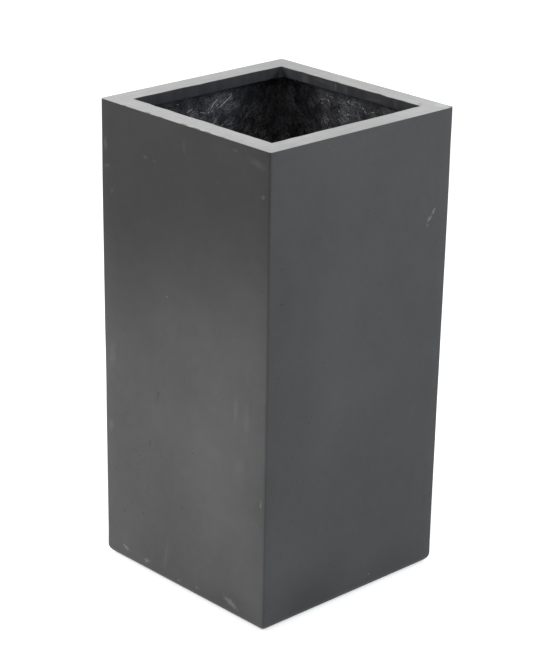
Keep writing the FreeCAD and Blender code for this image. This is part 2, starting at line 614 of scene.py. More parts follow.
RIGHT_MARKS = [
    (163, 641, 17, 6, 55, 1.5),
    (154, 630, 19, 7, 40, 1.3),
    (150, 620, 9, 7, 0, 0.8),
    (108, 792, 7, 6, 0, 0.3),
    (-80, 795, 7, 6, 0, 0.3),
    (45, 26, 7, 5, 0, 1.1),
    (23, 794, 20, 5, 0, 0.15),
    (-172, 618, 4, 5, 0, -0.6),
    (-171, 561, 4, 4, 0, -0.6),
    (-174, 439, 4, 4, 0, -0.5),
    (-104, 345, 5, 4, 0, -0.5),
    (-36, 310, 5, 4, 0, -0.4),
    (-114, 246, 5, 4, 0, -0.4),
]
# Broad patches of painted light and shade on the gelcoat, given in the same way: painted paler where
# light falls, and darker as shade, mostly towards the foot.
FRONT_LIGHT_AND_SHADE = [
    (90, 250, 240, 400, 0, 0.22),
    (-150, 40, 160, 200, 0, 0.18),
    (110, 10, 260, 100, 0, -0.2),
]
RIGHT_LIGHT_AND_SHADE = [
    (-60, 420, 150, 700, 0, 0.1),
    (-165, 560, 60, 300, 0, -0.08),
    (-90, 20, 330, 230, 0, -0.35),
    (80, 20, 260, 160, 0, -0.14),
]
# Paler patches on the lip along the back, given in the same way: the upright bands are painted highlights
# where the lip's surface changes its tilt, the level streaks are smears.
LIP_MARKS_AND_HIGHLIGHTS = [
    (-32, 799, 8, 24, 0, 0.5),
    (-7, 798, 7, 22, 0, 0.4),
    (-60, 802, 60, 7, -4, 0.3),
    (105, 798, 5, 24, 0, 0.55),
    (60, 796, 60, 5, 4, 0.3),
    (-104, 797, 20, 22, 0, 0.35),
]
# Marks on top of the rim: chips along the front edge, worn corners, a stain, a
# rubbed patch. Each has its place across X and Y, its length, width and strength.
RIM_MARKS = [
    (-140, -199, 14, 4, -0.45),
    (-84, -198, 18, 5, -0.5),
    (-52, -199, 14, 4, -0.5),
    (2, -198, 22, 6, -0.55),
    (30, -199, 26, 6, -0.6),
    (58, -199, 22, 5, -0.55),
    (92, -199, 16, 4, -0.4),
    (154, 170, 9, 6, -0.5),
    (198, 198, 11, 11, -0.75),
    (-199, -199, 7, 7, -0.5),
    (182, 190, 30, 22, 0.2),
]
# Small dents and swellings in the lip's top edge along the back: place across,
# and how far the edge stands back.
LIP_DENTS = [
    (-32, 1.3), (-14, -0.9), (21, -0.8), (69, 1.4), (92, -0.8), (125, 0.9), (-112, 0.8),
]
# Where the air holes crowd: the middle and the reach of a patch on the front and one on the right.
PINHOLE_PATCHES = [
    ((-0.105, -TOP_HALF, 0.2), (0.09, 0.03, 0.14)),
    ((TOP_HALF, -0.145, 0.24), (0.03, 0.06, 0.16)),
]
FRONT = ("Y", -TOP_HALF)
RIGHT = ("X", TOP_HALF)
LIP_BACK = ("Y", MOUTH_HALF)


def marked(tree, tone, place, grain, marks, side, softness=0.8, ragged=2.2):
    """The tone with rubbed marks and stains on one side, a plane across X or Y, and with patches of
    painted light and shade where the list holds them.
    """
    axis, where = side
    for across, height, length, width, slant, strength in marks:
        turn = math.radians(slant)
        if axis == "Y":
            centre = (across * MM, where, height * MM)
            reach = (length / 2 * MM, 15 * MM, width / 2 * MM)
            slanted = (0, -turn, 0)
        else:
            centre = (where, across * MM, height * MM)
            reach = (15 * MM, length / 2 * MM, width / 2 * MM)
            slanted = (turn, 0, 0)
        spot = place_effect(tree, patch, Vector=place, Grain=grain, Centre=centre, Slant=slanted,
                            Reach=reach, Ragged=ragged, Softness=softness)
        tone = shade_by(tree, tone, spot, strength)
    return tone


def rim_marked(tree, tone, place, grain):
    """The rim's tone with the marks on its top."""
    for across, depth, length, width, strength in RIM_MARKS:
        centre = (across * MM, depth * MM, TOP)
        reach = (length / 2 * MM, width / 2 * MM, 6 * MM)
        spot = place_effect(tree, patch, Vector=place, Grain=grain, Centre=centre, Slant=(0, 0, 0),
                            Reach=reach, Ragged=1.2, Softness=0.5)
        tone = shade_by(tree, tone, spot, strength)
    return tone


def parts_of(tree, vector):
    """The three parts of a vector."""
    node = tree.nodes.new("ShaderNodeSeparateXYZ")
    feed(tree, node.inputs[0], vector)
    return node.outputs["X"], node.outputs["Y"], node.outputs["Z"]


def paired_place(tree, place):
    """Object coordinates with the back and left sides laid on the front and right."""
    x, y, z = parts_of(tree, place)
    near = maths(tree, "GREATER_THAN", maths(tree, "SUBTRACT", x, y), 0.0)
    turned = maths(tree, "SUBTRACT", maths(tree, "MULTIPLY", near, 2.0), 1.0)
    node = new_node(tree, "ShaderNodeCombineXYZ")
    feed(tree, node.inputs["X"], maths(tree, "MULTIPLY", x, turned))
    feed(tree, node.inputs["Y"], maths(tree, "MULTIPLY", y, turned))
    feed(tree, node.inputs["Z"], z)
    return node.outputs[0]


def gelcoat_tone(tree, place):
    """Charcoal of the outside, softly clouded, with painted light and shade: the front and back painted
    lighter than the right and left, the front painted in shade towards its top, and broad patches of
    painted light and shade on the sides.
    """
    paired = paired_place(tree, place)
    x, y, z = parts_of(tree, paired)
    on_right = maths(tree, "GREATER_THAN", maths(tree, "ABSOLUTE", x), maths(tree, "ABSOLUTE", y))
    # Painted light and shade: one charcoal for the front and back, a darker one for the right and left.
    tone = blend_colour(tree, on_right, CHARCOAL_LIT_FRONT, CHARCOAL_SHADED_RIGHT)
    clouds = place_effect(tree, clouding, Vector=place, Size=7.0, Fine_share=0.4)
    tone = shade_by(tree, tone, maths(tree, "SUBTRACT", clouds, 0.5), 0.6)
    # Painted shade: the front is darkened towards its top, along a line that slants across it.
    tilted = maths(tree, "SUBTRACT", z, maths(tree, "MULTIPLY", x, 0.3))
    on_front = maths(tree, "SUBTRACT", 1.0, on_right)
    painted_shade_top = maths(tree, "MULTIPLY", ramp(tree, tilted, 0.36, 0.7), on_front)
    tone = shade_by(tree, tone, painted_shade_top, -0.55)
    drift = noise_mask(tree, place, 9.0, detail=2.0)
    # Broad patches of painted light and shade: paler where light falls, darker in shade.
    tone = marked(tree, tone, paired, drift, FRONT_LIGHT_AND_SHADE, FRONT, softness=1.0, ragged=0.5)
    return marked(tree, tone, paired, drift, RIGHT_LIGHT_AND_SHADE, RIGHT, softness=1.0, ragged=0.5)


def pinhole_regions(tree, paired):
    """Mask of the lower left parts of the sides, where the air holes crowd."""
    crowded = 0.0
    for centre, reach in PINHOLE_PATCHES:
        spot = place_effect(tree, patch, Vector=paired, Grain=0.5, Centre=centre, Slant=(0, 0, 0),
                            Reach=reach, Ragged=0.0, Softness=0.9)
        crowded = maths(tree, "MAXIMUM", crowded, spot)
    return crowded


def make_gelcoat():
    """Matte charcoal gelcoat of the walls: clouded, pin-holed and lightly scuffed."""
    material, tree, shader = new_material("charcoal_gelcoat", roughness=0.5, specular=0.12)
    place = object_place(tree)
    paired = paired_place(tree, place)
    tone = gelcoat_tone(tree, place)
    torn = noise_mask(tree, place, 260.0, detail=4.0, roughness=0.7)
    tone = marked(tree, tone, paired, torn, FRONT_MARKS, FRONT)
    tone = marked(tree, tone, paired, torn, RIGHT_MARKS, RIGHT)
    share = maths(tree, "ADD", 0.04, maths(tree, "MULTIPLY", pinhole_regions(tree, paired), 0.26))
    holes = place_effect(tree, pinholes, Vector=place, Density=170.0, Share=share, Dot=0.13)
    tone = blend_colour(tree, holes, tone, grey(0.02))
    feed(tree, shader["Base Color"], tone)
    grain = noise_mask(tree, place, 900.0, detail=2.0)
    feed(tree, shader["Roughness"], maths(tree, "ADD", 0.44, maths(tree, "MULTIPLY", grain, 0.14)))
    height = maths(tree, "SUBTRACT", maths(tree, "MULTIPLY", grain, 0.15), holes)
    rough_surface(tree, shader, height, 0.3 * MM, 0.4)
    return material


def make_rim_finish():
    """Rim: pale on top from dust and from painted light from above, smooth and dark on the lip with
    painted highlights, charcoal on the outer edge.
    """
    material, tree, shader = new_material("rim_gelcoat", roughness=0.45, specular=0.12)
    place = object_place(tree)
    x, y, _ = parts_of(tree, place)
    far_x = maths(tree, "ABSOLUTE", x)
    far_y = maths(tree, "ABSOLUTE", y)
    out = maths(tree, "MAXIMUM", far_x, far_y)
    on_side_rail = maths(tree, "GREATER_THAN", far_x, far_y)
    streak_long, streak_fine = 12, 420
    along_x = noise_mask(tree, place, 1.0, detail=4.0, stretch=(streak_long, streak_fine, 1))
    along_y = noise_mask(tree, place, 1.0, detail=4.0, stretch=(streak_fine, streak_long, 1))
    streaks = new_node(tree, "ShaderNodeMix", data_type="FLOAT")
    feed(tree, streaks.inputs[0], on_side_rail)
    feed(tree, streaks.inputs[2], along_x)
    feed(tree, streaks.inputs[3], along_y)
    streak = streaks.outputs[0]
    clouds = place_effect(tree, clouding, Vector=place, Size=9.0, Fine_share=0.4)
    pale = blend_colour(tree, ramp(tree, clouds, 0.3, 0.7), RIM_DARK, RIM_PALE)
    pale = shade_by(tree, pale, maths(tree, "SUBTRACT", streak, 0.5), 0.5)
    torn = noise_mask(tree, place, 420.0, detail=4.0, roughness=0.7)
    pale = rim_marked(tree, pale, place, torn)
    worn = maths(tree, "ADD", TOP_HALF - 1.6 * MM, maths(tree, "MULTIPLY", torn, 3 * MM))
    pale = shade_by(tree, pale, ramp(tree, maths(tree, "SUBTRACT", out, worn), -0.5 * MM, 0.6 * MM), -0.5)
    on_lip = ramp(tree, out, MOUTH_HALF + 14 * MM, MOUTH_HALF + 9 * MM)
    smear = noise_mask(tree, place, 60.0, detail=3.0, stretch=(1, 1, 0.15))
    lip_tone = blend_colour(tree, ramp(tree, smear, 0.2, 0.85), LIP_DARK, LIP_PALE)
    # Painted highlights on the lip: upright paler bands where its surface changes tilt, with smears.
    lip_tone = marked(tree, lip_tone, place, torn, LIP_MARKS_AND_HIGHLIGHTS, LIP_BACK, softness=0.7, ragged=0.8)
    dark = blend_colour(tree, on_lip, gelcoat_tone(tree, place), lip_tone)
    up = place_effect(tree, facing_up)
    # The top is paler partly from dust and partly as painted light from above.
    feed(tree, shader["Base Color"], blend_colour(tree, up, dark, pale))
    rough_surface(tree, shader, streak, 0.15 * MM, 0.25)
    return material


def near_corner(tree, place):
    """Mask of the inside near the upright corners, where the laminate and strands are darkened as painted
    shade.
    """
    x, y, _ = parts_of(tree, place)
    from_middle = maths(tree, "MINIMUM", maths(tree, "ABSOLUTE", x), maths(tree, "ABSOLUTE", y))
    wander = maths(tree, "SUBTRACT", noise_mask(tree, place, 18.0, detail=2.0), 0.5)
    edge = maths(tree, "ADD", from_middle, maths(tree, "MULTIPLY", wander, 0.05))
    return ramp(tree, edge, 0.085, 0.11)


def make_laminate():
    """Black glassy resin over chopped strands, with curled fibres showing through."""
    material, tree, shader = new_material("black_laminate", roughness=0.42, specular=0.35)
    place = object_place(tree)
    clouds = place_effect(tree, clouding, Vector=place, Size=14.0, Fine_share=0.5)
    tone = blend_colour(tree, ramp(tree, clouds, 0.35, 0.65), RESIN_DARK, RESIN_PALE)
    fibres = place_effect(tree, curled_fibres, Vector=place, Density=120.0, Width=0.05)
    shown = ramp(tree, noise_mask(tree, place, 55.0, detail=3.0), 0.38, 0.62)
    tone = shade_by(tree, tone, maths(tree, "MULTIPLY", fibres, shown), 2.0)
    # Painted shade: the laminate darkened a little near the upright corners.
    tone = shade_by(tree, tone, near_corner(tree, place), -0.1)
    feed(tree, shader["Base Color"], tone)
    lumps = noise_mask(tree, place, 320.0, detail=4.0, roughness=0.7)
    height = maths(tree, "ADD", lumps, maths(tree, "MULTIPLY", fibres, 0.5))
    rough_surface(tree, shader, height, 0.6 * MM, 0.6)
    return material


def make_strand_finish(name, dark, pale, share):
    """Glass strands under resin: mostly dark, some of them paler."""
    material, tree, shader = new_material(name, roughness=0.42, specular=0.4)
    place = object_place(tree)
    clouds = place_effect(tree, clouding, Vector=place, Size=40.0, Fine_share=0.5)
    tone = blend_colour(tree, ramp(tree, clouds, 0.62 - share, 0.62), dark, pale)
    # Painted shade: the strands darkened near the upright corners.
    feed(tree, shader["Base Color"], shade_by(tree, tone, near_corner(tree, place), -0.5))
    return material


def make_rubber():
    """Black moulded rubber of the stopper."""
    material, tree, shader = new_material("black_rubber", roughness=0.6, specular=0.4)
    place = object_place(tree)
    clouds = place_effect(tree, clouding, Vector=place, Size=60.0, Fine_share=0.4)
    feed(tree, shader["Base Color"], blend_colour(tree, clouds, grey(0.012), grey(0.028)))
    rough_surface(tree, shader, noise_mask(tree, place, 1500.0), 0.05 * MM, 0.4)
    return material


def make_putty():
    """Black resin putty, trowelled round the base."""
    material, tree, shader = new_material("black_putty", roughness=0.5, specular=0.45)
    place = object_place(tree)
    clouds = place_effect(tree, clouding, Vector=place, Size=24.0, Fine_share=0.5)
    feed(tree, shader["Base Color"], blend_colour(tree, clouds, grey(0.012), grey(0.035)))
    rough_surface(tree, shader, noise_mask(tree, place, 220.0, detail=4.0), 0.4 * MM, 0.6)
    return material


gelcoat = make_gelcoat()
rim_finish = make_rim_finish()
laminate = make_laminate()
wet_strands = make_strand_finish("wet_glass_strands", WET_GLASS_DARK, WET_GLASS_PALE, 0.16)
dry_strands = make_strand_finish("dry_glass_strands", DRY_GLASS_DARK, DRY_GLASS_PALE, 0.2)
rubber = make_rubber()
putty = make_putty()


# =====================================================================
# Pieces
# =====================================================================

def half_at(z):
    """Half width of the tapered outer form at height z."""
    return TOP_HALF - WALL_TAPER * (1 - z / TOP)


def bow(z):
    """How far the walls swell outwards between the rim and the foot."""
    swell_middle = 0.62
    swell_reach = 0.2
    swell = 0.6 * MM
    stiff_under_rim = 0.12
    held = min(1, (TOP - z) / stiff_under_rim)
    return swell * math.exp(-((z - swell_middle) / swell_reach) ** 2) * held


def foot_rings(inset, corner, steps=8):
    """Rings round the foot's quarter round, drawn in by inset."""
    rings = []
    for step in range(steps + 1):
        angle = math.radians(90 * step / steps)
        z = FOOT_ROUND - (FOOT_ROUND - inset) * math.cos(angle)
        rings.append((half_at(z) - FOOT_ROUND + (FOOT_ROUND - inset) * math.sin(angle), z, corner))
    return rings


def heights(low, high, spacing):
    """Evenly spaced heights above low, up to and with high."""
    count = math.ceil((high - low) / spacing)
    return [low + (high - low) * (step + 1) / count for step in range(count)]


def make_shell():
    """Outer skin of the walls, turned under at the foot round an open middle."""
    rings = [(FOOT_OPENING_HALF, 0, FOOT_OPENING_ROUND)]
    rings += foot_rings(0, CORNER_ROUND)
    rings += [(half_at(z) + bow(z), z, CORNER_ROUND) for z in heights(FOOT_ROUND, WALL_TOP, 25 * MM)]
    piece = ringed_piece("gelcoat_walls", rings, steps=4)
    with editing(piece):
        divide_sides(piece, 15)
    face_outwards(piece)
    ripple(piece, 0.12, 0.6 * MM, middle_level=1.0, test=lambda p: 0.03 < p.z < TOP - 0.03)
    thicken(piece, WALL / 2)
    smooth(piece)
    dress(piece, gelcoat, stands_for=["shell"])


def make_rim():
    """Flat rim with a lip turned down inside it, whose corners widen into wedges."""
    flat_facet = 0.25
    rings = [
        (half_at(WALL_TOP), WALL_TOP, CORNER_ROUND),
        (TOP_HALF, TOP, CORNER_ROUND),
        (MOUTH_HALF, TOP, LIP_TOP_CORNER_ROUND),
        (MOUTH_HALF + LIP_LEAN, LIP_FOOT, LIP_WEDGE, flat_facet),
        (MOUTH_HALF + LIP_LEAN + LIP_THICKNESS, LIP_FOOT, LIP_WEDGE + LIP_THICKNESS, flat_facet),
        (MOUTH_HALF + LIP_THICKNESS, WALL_TOP, 4 * MM),
    ]
    piece = ringed_piece("rim_and_lip", rings, steps=4, closed=True)

    def round_the_top(edge):
        """True for the top's edges outside and inside, but not for those across the rim."""
        across_rim = 20 * MM < along(edge).length < 80 * MM
        return is_level(edge) and middle(edge).z > TOP - CLOSE and not across_rim

    with editing(piece):
        pick(piece, "EDGE", round_the_top)
        bpy.ops.mesh.bevel(offset=RIM_EDGE_ROUND, segments=3, profile=0.5, affect="EDGES")
        divide_sides(piece, 48)
        # The lip was trimmed a little short along the back.
        trimmed = 2 * MM
        pick(piece, "VERT", lambda v: v.co.z < LIP_FOOT + MM and v.co.y > MOUTH_HALF)
        bpy.ops.transform.translate(value=(0, 0, trimmed))
        for across, back in LIP_DENTS:
            pick(piece, "VERT", lambda v: v.co.z > TOP - 3 * MM and abs(v.co.y - MOUTH_HALF) < 2 * MM
                 and abs(v.co.x - across * MM) < 4 * MM)
            bpy.ops.transform.translate(value=(0, back * MM, 0), use_proportional_edit=True,
                                        proportional_edit_falloff="SMOOTH", proportional_size=9 * MM)
    face_outwards(piece)
    for direction in ("X", "Y"):
        ripple(piece, 0.04, 3.4 * MM, direction=direction,
               test=lambda p: out_from_axis(p) < MOUTH_HALF + 9 * MM)
    smooth(piece, 35)
    dress(piece, rim_finish, stands_for=["rim_collar"])


def make_lining():
    """Rough laminate inside the walls and on the flange, lumpy as it was laid."""
    rings = [(FOOT_OPENING_HALF, panel_low.z, FOOT_OPENING_ROUND)]
    rings += foot_rings(WALL, INNER_CORNER_ROUND, steps=4)
    # What shows through the mouth is skinned through rings that lie closer together.
    seen_from = TOP - 0.22
    levels = heights(FOOT_ROUND, seen_from, 13 * MM)
    levels += heights(seen_from, WALL_TOP - 0.3 * MM, 4.5 * MM)
    rings += [(half_at(z) - WALL, z, INNER_CORNER_ROUND) for z in levels]
    piece = ringed_piece("laminate_lining", rings, steps=6)
    with editing(piece):
        divide_sides(piece, 70)
    face_outwards(piece, inside=True)

    def on_walls(point):
        """True between the flange and the top of the walls."""
        return 8 * MM < point.z < WALL_TOP - 2 * MM

    ripple(piece, 0.02, 2.4 * MM, test=on_walls)
    ripple(piece, 0.007, 1.4 * MM, test=on_walls)
    thicken(piece, 1.2 * MM)
    smooth(piece, 60)
    dress(piece, laminate)
    return piece


def walk_round(distance, z, inset):
    """Point on the inside walls, by the distance round them from the front left corner."""
    half = half_at(z) - inset
    side = 2 * half
    quarter, rest = divmod(distance % (4 * side), side)
    point = Vector((rest - half, -half, z))
    return Matrix.Rotation(math.radians(90) * quarter, 3, "Z") @ point


def strand_line(dice, curl_share):
    """Flat line of one chopped strand: points from its start, with a slow curl."""
    length = dice.uniform(5, 24) * MM
    heading = dice.uniform(0, 2 * math.pi)
    curl = dice.uniform(-1, 1) * curl_share
    points = [Vector((0, 0))]
    steps = 3
    for _ in range(steps):
        points.append(points[-1] + Vector((math.cos(heading), math.sin(heading))) * length / steps)
        heading += curl + dice.uniform(-0.2, 0.2)
    return points


def new_strands(name, thickness):
    """Empty curve for strands of one thickness."""
    curve = bpy.data.curves.new(name, "CURVE")
    curve.dimensions = "3D"
    curve.bevel_depth = thickness / 2
    curve.bevel_resolution = 0
    curve.use_fill_caps = True
    piece = bpy.data.objects.new(name, curve)
    bpy.context.scene.collection.objects.link(piece)
    return piece


def add_strand(piece, points):
    """One strand through these points, thinner at its ends."""
    spline = piece.data.splines.new("POLY")
    spline.points.add(len(points) - 1)
    for index, (knot, point) in enumerate(zip(spline.points, points)):
        knot.co = (*point, 1.0)
        knot.radius = 0.5 if index in (0, len(points) - 1) else 1.0


def finish_strands(piece, material):
    """Strands as a mesh, dressed."""
    make_active(piece)
    bpy.ops.object.convert(target="MESH")
    smooth(piece, 80)
    dress(piece, material)


def surface_of(pieces):
    """The surfaces of several pieces, for finding the nearest point on them."""
    corners, faces = [], []
    for piece in pieces:
        first = len(corners)
        corners += [v.co.copy() for v in piece.data.vertices]
        faces += [[first + corner for corner in face.vertices] for face in piece.data.polygons]
    return BVHTree.FromPolygons(corners, faces)


def bedded(ground, point, proud):
    """The laminate's nearest place to a point, raised by proud, or sunk where that is negative."""
    spot = ground.find_nearest(point)[0]
    return spot + (point - spot).normalized() * proud


def lay_wall_strands(name, ground, count, low, high, start_at=0.0, share=1.0):
    """Chopped strands scattered over a share of the way round the walls, between two
    heights, and bedded in the laminate."""
    dice = random.Random(name + str(STRAND_SEED))
    piece = new_strands(name, STRAND_THICKNESS)
    round_walls = 8 * half_at((low + high) / 2)
    for _ in range(count):
        start = (start_at + dice.random() * share) * round_walls
        level = dice.uniform(low, high)
        proud = dice.uniform(-0.35, 0.35) * STRAND_THICKNESS
        points = []
        for line in strand_line(dice, WALL_CURL):
            z = min(max(level + line.y, low), high)
            points.append(bedded(ground, walk_round(start + line.x, z, STRAND_INSET), proud))
        add_strand(piece, points)
    finish_strands(piece, wet_strands)


# Loose pale strands that stand out, each with the wall it lies on (left or back),
# and the place along the wall and up it of its two ends, in millimetres.
LOOSE_STRANDS = [
    ("left", 52, 748, 80, 766), ("left", 34, 756, 48, 764), ("left", 30, 748, 38, 756),
    ("left", 33, 744, 36, 747), ("left", 26, 743, 29, 745), ("left", 44, 752, 48, 755),
    ("left", -20, 752, -8, 756), ("left", -44, 771, -38, 769), ("left", 8, 748, 20, 744),
    ("back", -80, 761, -76, 756), ("back", -72, 769, -67, 766), ("back", -56, 750, -52, 746),
    ("back", -33, 768, -29, 765), ("back", 2, 766, 6, 762), ("back", 7, 761, 12, 756),
    ("back", -54, 734, -48, 731), ("back", -96, 752, -90, 754), ("back", 24, 762, 29, 763),
]


def lay_loose_strands(ground):
    """The few dry strands that catch the eye."""
    piece = new_strands("strands_loose", LOOSE_STRAND_THICKNESS)
    usual_height = 0.75
    inner_half = half_at(usual_height) - STRAND_INSET
    proud = 0.4 * LOOSE_STRAND_THICKNESS
    steps = 3
    for wall, start, low, end, high in LOOSE_STRANDS:
        points = []
        for step in range(steps + 1):
            along_wall = (start + (end - start) * step / steps) * MM
            up_wall = (low + (high - low) * step / steps) * MM
            on_left = (-inner_half, along_wall, up_wall)
            on_back = (along_wall, inner_half, up_wall)
            points.append(bedded(ground, Vector(on_left if wall == "left" else on_back), proud))
        add_strand(piece, points)
    finish_strands(piece, dry_strands)


def make_corner_tapes():
    """Glass tapes with torn edges, laid up the inside corners: one, and three turned copies."""
    inset = WALL + TAPE_THICKNESS
    corner = INNER_CORNER_ROUND - TAPE_THICKNESS
    levels = [tape_low.z] + heights(tape_low.z, tape_high.z, 8 * MM)
    first = ringed_piece("corner_tape_1", [(half_at(z) - inset, z, corner) for z in levels], steps=6)

    def beyond_torn_edge(face):
        """True for a face past the tape's edge, which wanders up and down the corner."""
        spot = face.calc_center_median()
        reach = half_at(spot.z) - WALL - TAPE_REACH
        wander = 7 * MM * noise.noise(spot * 45) - 3 * MM
        return spot.x > -reach + wander or spot.y > -reach + wander

    with editing(first):
        divide_sides(first, 90)
        pick(first, "FACE", beyond_torn_edge)
        bpy.ops.mesh.delete(type="FACE")
        pick(first, "VERT", lambda v: v.is_boundary)
        bpy.ops.mesh.vertices_smooth(factor=0.5, repeat=2)
    face_outwards(first)
    with editing(first):
        pick(first, "FACE", lambda f: True)
        mesh = bmesh.from_edit_mesh(first.data)
        outward = sum(f.normal.dot(f.calc_center_median() * Vector((1, 1, 0))) for f in mesh.faces)
        if outward > 0:
            bpy.ops.mesh.flip_normals()
    ripple(first, 0.015, 1.0 * MM)
    thicken(first, 1.1 * MM)
    smooth(first, 60)
    corners = ["front_left", "front_right", "back_right", "back_left"]
    tapes = []
    for quarter, corner_name in enumerate(corners):
        tape = first
        if quarter:
            make_active(first)
            bpy.ops.object.duplicate()
            tape = named("corner_tape_%d" % (quarter + 1))
            tape.rotation_euler.z = math.radians(90 * quarter)
            bpy.ops.object.transform_apply(location=True, rotation=True, scale=True)
        dress(tape, laminate, stands_for=["corner_tape_" + corner_name])
        tapes.append(tape)
    return tapes


def make_base_panel():
    """Laminate base with the drain hole through its middle, rough on top."""
    thickness = panel_high.z - panel_low.z
    piece = new_box("base_board", panel_low, panel_high)
    with editing(piece):
        pick(piece, "EDGE", lambda e: along(e).z > 1 * MM)
        bpy.ops.mesh.bevel(offset=BASE_CORNER_ROUND, segments=6, profile=0.5, affect="EDGES")
        pick(piece, "EDGE", is_level)
        bpy.ops.mesh.bevel(offset=0.8 * MM, segments=2, profile=0.5, affect="EDGES")
        cuts_each_way = 17
        for normal in ((1, 0, 0), (0, 1, 0)):
            for step in range(-cuts_each_way, cuts_each_way + 1):
                bpy.ops.mesh.select_all(action="SELECT")
                bpy.ops.mesh.bisect(plane_co=[part * step * 10 * MM for part in normal], plane_no=normal)
    ripple(piece, 0.03, 1.0 * MM, direction="Z",
           test=lambda p: 0.03 < out_from_axis(p) < 0.168 and p.z > panel_high.z - MM)
    deselect_everything()
    bpy.ops.mesh.primitive_cylinder_add(vertices=64, radius=DRAIN_RADIUS, depth=4 * thickness,
                                        location=(0, 0, panel_high.z))
    cut_out(piece, named("drain_cutter"))

    def round_drain(edge):
        """True for the drain hole's edges in the board's top and underside."""
        off_middle = abs(middle(edge).z - (panel_low.z + panel_high.z) / 2)
        on_a_face = abs(off_middle - thickness / 2) < CLOSE
        on_the_hole = abs(middle(edge).xy.length - DRAIN_RADIUS) < CLOSE
        return is_level(edge) and on_a_face and on_the_hole

    with editing(piece):
        pick(piece, "EDGE", round_drain)
        bpy.ops.mesh.bevel(offset=0.6 * MM, segments=2, profile=0.5, affect="EDGES")
    face_outwards(piece)
    smooth(piece)
    dress(piece, laminate, stands_for=["base_panel"])


def make_base_bead():
    """Trowelled putty bead, from the base board up to the walls."""
    board_half = panel_high.x
    wall_half = half_at(bead_high.z) - WALL
    # Up the slope from the board, down the wall, and back up beside the board's edge.
    rings = [
        (board_half - BEAD_OVERLAP, panel_high.z + 0.2 * MM, BASE_CORNER_ROUND),
        (board_half - 2 * MM, panel_high.z + 2.5 * MM, 9 * MM),
        (board_half + 6 * MM, panel_high.z + 6.5 * MM, 11 * MM),
        (wall_half - 2 * MM, bead_high.z - MM, 13 * MM),
        (wall_half - 0.1 * MM, bead_high.z, 14 * MM),
        (half_at(panel_high.z) - WALL - 1.5 * MM, panel_high.z, 14 * MM),
        (board_half + 4.5 * MM, panel_low.z + 0.4 * MM, 10 * MM),
        (board_half + 0.2 * MM, panel_low.z + 0.2 * MM, BASE_CORNER_ROUND),
        (board_half + 0.2 * MM, panel_high.z + 0.1 * MM, BASE_CORNER_ROUND),
    ]
    piece = ringed_piece("putty_bead", rings, steps=6, closed=True)
    with editing(piece):
        divide_sides(piece, 70)
    face_outwards(piece)
    ripple(piece, 0.018, 1.4 * MM,
           test=lambda p: p.z > panel_high.z + MM and out_from_axis(p) < wall_half - MM)
    smooth(piece, 50)
    dress(piece, putty, stands_for=["base_bead"])


